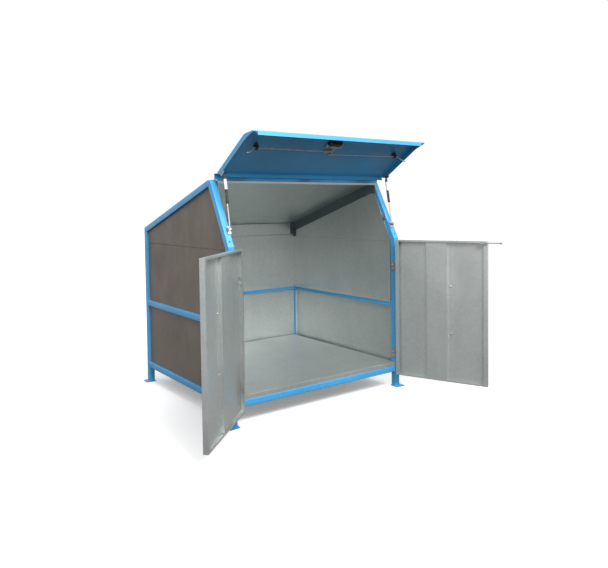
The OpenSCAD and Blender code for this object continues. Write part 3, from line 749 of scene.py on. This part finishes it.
bm = bmesh.new()
rear_place = (Matrix.Translation((-INNER_X + LIP_CORNER, LIP_REAR_Y, 0))
              @ Matrix.Rotation(math.radians(-90), 4, "Z"))
folded_lip(bm, rear_place, 2 * (INNER_X - LIP_CORNER))
add_object("rear_lining_lip", bm, MATERIALS["galvanised"], "frame")
for side, x0 in (("left", -LIP_SIDE_X), ("right", LIP_SIDE_X - LIP_THICK)):
    bm = bmesh.new()
    folded_lip(bm, Matrix.Translation((x0, LIP_FRONT_Y, 0)), LIP_REAR_Y - LIP_CLEAR - LIP_FRONT_Y)
    add_object(f"{side}_lining_lip", bm, MATERIALS["galvanised"], "frame")

# ---------------------------------------------------------------- lock

BAR_SIDES = 14
BAR_REFERENCE = Vector((0.0, 1.0, 0.13))  # never along a bar, so its rings don't flip
BAR_NOSE = ((0.35, 0.94), (0.75, 0.66), (0.97, 0.2))  # reach and size, in radii


def swept_tube(bm, points, radius):
    """A round bar along a line of points, its ends closed with a small round nose."""
    last = len(points) - 1
    nose = [(reach * radius, size * radius) for reach, size in BAR_NOSE]
    stations = ([(0, -reach, size) for reach, size in reversed(nose)]
                + [(i, 0.0, radius) for i in range(len(points))]
                + [(last, reach, size) for reach, size in nose])
    rings = []
    for i, reach, size in stations:
        along = (points[min(i + 1, last)] - points[max(i - 1, 0)]).normalized()
        side = along.cross(BAR_REFERENCE).normalized()
        other = along.cross(side)
        centre = points[i] + along * reach
        ring = []
        for k in range(BAR_SIDES):
            turn = 2 * math.pi * k / BAR_SIDES
            spoke = side * math.cos(turn) + other * math.sin(turn)
            ring.append(bm.verts.new(centre + spoke * size))
        rings.append(ring)
    for first, second in zip(rings, rings[1:]):
        for k in range(BAR_SIDES):
            t = (k + 1) % BAR_SIDES
            bm.faces.new((first[k], first[t], second[t], second[k]))
    bm.faces.new(rings[0])
    bm.faces.new(rings[-1])


SPINDLE = Vector((-5, -278, 0)) * MM
LOCK_ROD_R = 4 * MM
LOCK_ROD_Z = -25.5 * MM
LOCK_ROD_DROP = 36.5 * MM
GUIDE_X = 545 * MM
BEND_START = 552 * MM
BEND_END = 616 * MM
TIP_X = 622 * MM
BEND_STEPS = 14
STRAIGHT_POINTS = 6
PEG = [(0, 0), (3 * MM, 0), (3 * MM, 5.4 * MM), (2.4 * MM, 6 * MM), (0, 6 * MM)]

for side, sign, dy, skew in (("left", -1, -14 * MM, -1 * MM), ("right", 1, 14 * MM, -15 * MM)):
    inner = Vector((SPINDLE.x, SPINDLE.y + dy, LOCK_ROD_Z))
    guide = Vector((sign * GUIDE_X, inner.y + skew, LOCK_ROD_Z))
    slope = (guide - inner).y / abs((guide - inner).x)

    def rod_point(x, drop):
        y = inner.y + slope * (x - sign * inner.x)
        return LID_MATRIX @ Vector((sign * x, y, LOCK_ROD_Z - drop))

    points = [rod_point(sign * inner.x - 5 * MM, 0.0)]
    points += [rod_point(60 * MM + 100 * MM * k, 0.0) for k in range(STRAIGHT_POINTS)]
    for step in range(BEND_STEPS + 1):
        share = step / BEND_STEPS
        ease = share * share * (3 - 2 * share)
        reach = BEND_START + (BEND_END - BEND_START) * share
        points.append(rod_point(reach, LOCK_ROD_DROP * ease))
    points.append(rod_point(TIP_X - LOCK_ROD_R, LOCK_ROD_DROP))
    bm = bmesh.new()
    swept_tube(bm, points, LOCK_ROD_R)
    lathe(bm, LID_MATRIX @ Matrix.Translation(inner), PEG, 20)
    piece = add_object(f"{side}_lock_bar", bm, MATERIALS["bright_zinc"],
                       f"{side}_bolt")
    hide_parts(f"{side}_lock_rod")

# Screws of the lock case, the guides and the plate, on the lid's underside
# Each row: places across and along the lid, its face, then the head's radius and height, in mm
LOCK_SCREWS = (
    ((-55, 29), (-368.5, -343.5), -24, 3.4, 1.8),
    ((-50, 52), (-332, -311), -9, 3.6, 1.9),
    ((-545,), (-293 - 17, -293 + 17), -4, 2.6, 1.6),
    ((545,), (-279 - 17, -279 + 17), -4, 2.6, 1.6),
)
bm = bmesh.new()
for across_mm, along_mm, face_mm, head_radius, head_height in LOCK_SCREWS:
    for x in across_mm:
        for y in along_mm:
            lathe(bm, LID_MATRIX @ facing((x * MM, y * MM, face_mm * MM), (0, 0, -1)),
                  dome(head_radius * MM, head_height * MM))
add_object("lock_screws", bm, MATERIALS["bright_zinc"], "lid")

# Key cylinder in the outside handle, with a raised bar where the key goes
bm = bmesh.new()
key_spot = LID_MATRIX @ Matrix.Translation(SPINDLE + Vector((0, 0, 22.3 * MM)))
lathe(bm, key_spot, [(0, -1 * MM), (6.5 * MM, -1 * MM), (6.5 * MM, 0.9 * MM), (5.9 * MM, 1.3 * MM),
                     (5.2 * MM, 1.3 * MM), (5.0 * MM, 0.7 * MM), (0, 0.7 * MM)], 32)
KEY_X, KEY_Y = 0.9 * MM, 3.2 * MM
corners = [(KEY_X, KEY_Y), (-KEY_X, KEY_Y), (-KEY_X, -KEY_Y), (KEY_X, -KEY_Y)]
low = [bm.verts.new(key_spot @ Vector((x, y, 0.72 * MM))) for x, y in corners]
high = [bm.verts.new(key_spot @ Vector((x * 1.3, y * 1.1, 1.15 * MM))) for x, y in corners]
for k in range(4):
    t = (k + 1) % 4
    bm.faces.new((low[k], low[t], high[t], high[k]))
bm.faces.new(low)
bm.faces.new(high)
add_object("key_cylinder", bm, MATERIALS["bright_zinc"], "lock_spindle")

# Spot welds that hold the stiffener to the door skin
STIFFENER_FLANGES = (206 * MM, 386 * MM)
WELD_PITCH = 90 * MM
WELD_FROM_BOTTOM = 50 * MM
WELD_FROM_TOP = 40 * MM
SPOT_WELD = [(0, 0.02 * MM), (1.9 * MM, 0.05 * MM), (2.7 * MM, 0.38 * MM), (3.4 * MM, 0.30 * MM),
             (4.0 * MM, -0.1 * MM), (0, -0.1 * MM)]

for side in ("left", "right"):
    place = door_matrix(side)
    bm = bmesh.new()
    for x in STIFFENER_FLANGES:
        z = DOOR_Z0 + WELD_FROM_BOTTOM
        while z < DOOR_Z1 - WELD_FROM_TOP:
            lathe(bm, place @ facing((x, SHEET_BACK, z), (0, 1, 0)), SPOT_WELD, 16)
            z += WELD_PITCH
    add_object(f"{side}_door_spot_welds", bm, MATERIALS["galvanised"],
               f"{side}_door")

# ---------------------------------------------------------------- gas struts

STRUT_LOW = Vector(JOINTS["left_strut_swing"]["pos_m"])
STRUT_DIR = -Vector(JOINTS["left_strut_slide"]["axis"])
STRUT_X = abs(STRUT_LOW.x)
CYL_R = 8.5 * MM
ROD_R = 4 * MM
CYL_START = 152 * MM
LABEL_START = CYL_START + 82 * MM
LABEL_OUT = CYL_R + 0.22 * MM
LABEL_RIM = CYL_R + 0.05 * MM
LABEL_IN = CYL_R - 0.3 * MM
LABEL_LENGTH = 60 * MM
STRUT_LABEL = [(LABEL_RIM, 0), (LABEL_OUT, 0.4 * MM), (LABEL_OUT, LABEL_LENGTH - 0.4 * MM),
               (LABEL_RIM, LABEL_LENGTH), (LABEL_IN, LABEL_LENGTH), (LABEL_IN, 0), (LABEL_RIM, 0)]
STRUT_SEAL = [(ROD_R + 0.3 * MM, -1.5 * MM), (CYL_R - 2 * MM, -1.5 * MM),
              (CYL_R - 0.6 * MM, -0.6 * MM), (CYL_R + 0.15 * MM, 0.6 * MM),
              (CYL_R + 0.15 * MM, 6 * MM), (CYL_R - 0.4 * MM, 7 * MM), (CYL_R - 0.4 * MM, 9 * MM),
              (CYL_R - 1.0 * MM, 9 * MM), (ROD_R + 0.3 * MM, 2 * MM), (ROD_R + 0.3 * MM, -1.5 * MM)]
STRUT_WASHER = [(4.15 * MM, 0.1 * MM), (6.2 * MM, 0.1 * MM), (6.4 * MM, 0.4 * MM),
                (6.4 * MM, 1.0 * MM), (6.2 * MM, 1.3 * MM), (4.15 * MM, 1.3 * MM),
                (4.15 * MM, 0.1 * MM)]
WASHER_X = 4.0 * MM

for side, sign in (("left", -1), ("right", 1)):
    low = Vector((sign * STRUT_X, STRUT_LOW.y, STRUT_LOW.z))
    along = facing(low, STRUT_DIR)
    bm = bmesh.new()
    lathe(bm, along @ Matrix.Translation((0, 0, LABEL_START)), STRUT_LABEL, 40)
    add_object(f"{side}_strut_label", bm, WHITE_LABEL, f"{side}_strut_upper")
    bm = bmesh.new()
    lathe(bm, along @ Matrix.Translation((0, 0, CYL_START)), STRUT_SEAL, 40)
    add_object(f"{side}_strut_seal", bm, BLACK_RUBBER, f"{side}_strut_upper")
    bm = bmesh.new()
    across = facing(low + Vector((-sign * WASHER_X, 0, 0)), (-sign, 0, 0))
    lathe(bm, across, STRUT_WASHER, 32)
    add_object(f"{side}_strut_washer", bm, MATERIALS["bright_zinc"],
               f"{side}_strut_lower")

# ---------------------------------------------------------------- floor, lights, camera

FLOOR_RADIUS = 40.0
FLOOR_GLOW = 0.18  # lifts the floor to the photograph's white

floor_mesh = bpy.data.meshes.new("studio_floor")
bm = bmesh.new()
bmesh.ops.create_circle(bm, cap_ends=True, radius=FLOOR_RADIUS, segments=96)
bm.to_mesh(floor_mesh)
bm.free()
floor = bpy.data.objects.new("studio_floor", floor_mesh)
bpy.context.scene.collection.objects.link(floor)
floor_material, tree, shader, coords = new_material("pale_floor")
tone = blend_colour(tree, noise(tree, coords, 1.5, 3.0), (0.96, 0.96, 0.96), (0.99, 0.99, 0.99))
tree.links.new(tone, shader.inputs["Base Color"])
shader.inputs["Roughness"].default_value = 0.6
shader.inputs["Specular IOR Level"].default_value = 0.2
shader.inputs["Emission Color"].default_value = (1.0, 1.0, 1.0, 1.0)
shader.inputs["Emission Strength"].default_value = FLOOR_GLOW
floor_mesh.materials.append(floor_material)
# A white floor this large would light the object from below
floor.visible_diffuse = False
floor.visible_glossy = False

SKY = 1.02
GROUND = 0.24
DIM_SIDE = 0.60  # of the backdrop's brightness, in the half behind the camera
BACKDROP_WAY = (0.59, 0.81, 0.0)
WINDOW_WAY = (-0.70, -0.60, 0.39)
WINDOW_GAIN = 1.1
world = bpy.data.worlds.new("studio")
world.use_nodes = True
tree = world.node_tree
coords = tree.nodes.new("ShaderNodeTexCoord").outputs["Generated"]
split = tree.nodes.new("ShaderNodeSeparateXYZ")
tree.links.new(coords, split.inputs[0])


def toward(direction):
    """How nearly each direction of the studio points the given way, from -1 to 1."""
    node = tree.nodes.new("ShaderNodeVectorMath")
    node.operation = "DOT_PRODUCT"
    node.inputs[1].default_value = direction
    tree.links.new(coords, node.inputs[0])
    return node.outputs["Value"]


backdrop = span(tree, toward(BACKDROP_WAY), -0.1, 0.70, DIM_SIDE, 1.0)
overhead = span(tree, split.outputs["Z"], 0.10, 0.75, 0.0, 1.0)
wall = combine(tree, "MAXIMUM", backdrop, overhead)
window = span(tree, toward(WINDOW_WAY), 0.86, 0.97, 0.0, WINDOW_GAIN)
room = combine(tree, "ADD", wall, window)
below = span(tree, split.outputs["Z"], -0.30, -0.06, GROUND, SKY)
level = combine(tree, "MULTIPLY", room, below)
tree.nodes["Background"].inputs["Color"].default_value = (1.0, 1.0, 1.0, 1.0)
tree.links.new(level, tree.nodes["Background"].inputs["Strength"])
bpy.context.scene.world = world


def area_light(name, position, target, size, power):
    """A rectangular light aimed at a target, in metres and watts."""
    light = bpy.data.lights.new(name, "AREA")
    light.shape = "RECTANGLE"
    light.size, light.size_y = size
    light.energy = power
    holder = bpy.data.objects.new(name, light)
    holder.location = position
    aim = Vector(target) - Vector(position)
    holder.rotation_euler = aim.to_track_quat("-Z", "Y").to_euler()
    bpy.context.scene.collection.objects.link(holder)


area_light("key", (-1.6, -5.0, 5.2), (0, 0, 0.5), (3.4, 3.4), 150)
area_light("inner_fill", (-0.8, -3.2, 3.3), (0.1, 0.1, 0.3), (1.6, 1.2), 125)
area_light("right_fill", (2.4, -4.0, 4.4), (-0.6, -0.7, 0.9), (1.4, 1.4), 75)

CAMERA_PLACE = Vector((-2.3726, -3.6690, 1.2666))
YAW = math.radians(36.237)
PITCH = math.radians(2.341)
ROLL = math.radians(-0.791)
FOCAL_PX = 610.63
IMAGE_W = 608
SENSOR = 36.0
SHIFT_PX = 52  # the optical centre's height above the middle of the picture

forward = Vector((math.sin(YAW) * math.cos(PITCH),
                  math.cos(YAW) * math.cos(PITCH),
                  -math.sin(PITCH)))
right = Vector((math.cos(YAW), -math.sin(YAW), 0))
up = right.cross(forward)
tilted_right = right * math.cos(ROLL) + up * math.sin(ROLL)
tilted_up = up * math.cos(ROLL) - right * math.sin(ROLL)

camera_data = bpy.data.cameras.new("camera")
camera_data.sensor_fit = "HORIZONTAL"
camera_data.sensor_width = SENSOR
camera_data.lens = FOCAL_PX * SENSOR / IMAGE_W
camera_data.shift_y = -SHIFT_PX / IMAGE_W
camera = bpy.data.objects.new("camera", camera_data)
rotation = Matrix((tilted_right, tilted_up, -forward)).transposed().to_4x4()
camera.matrix_world = Matrix.Translation(CAMERA_PLACE) @ rotation
bpy.context.scene.collection.objects.link(camera)
bpy.context.scene.camera = camera
bpy.context.scene.view_settings.view_transform = "Standard"
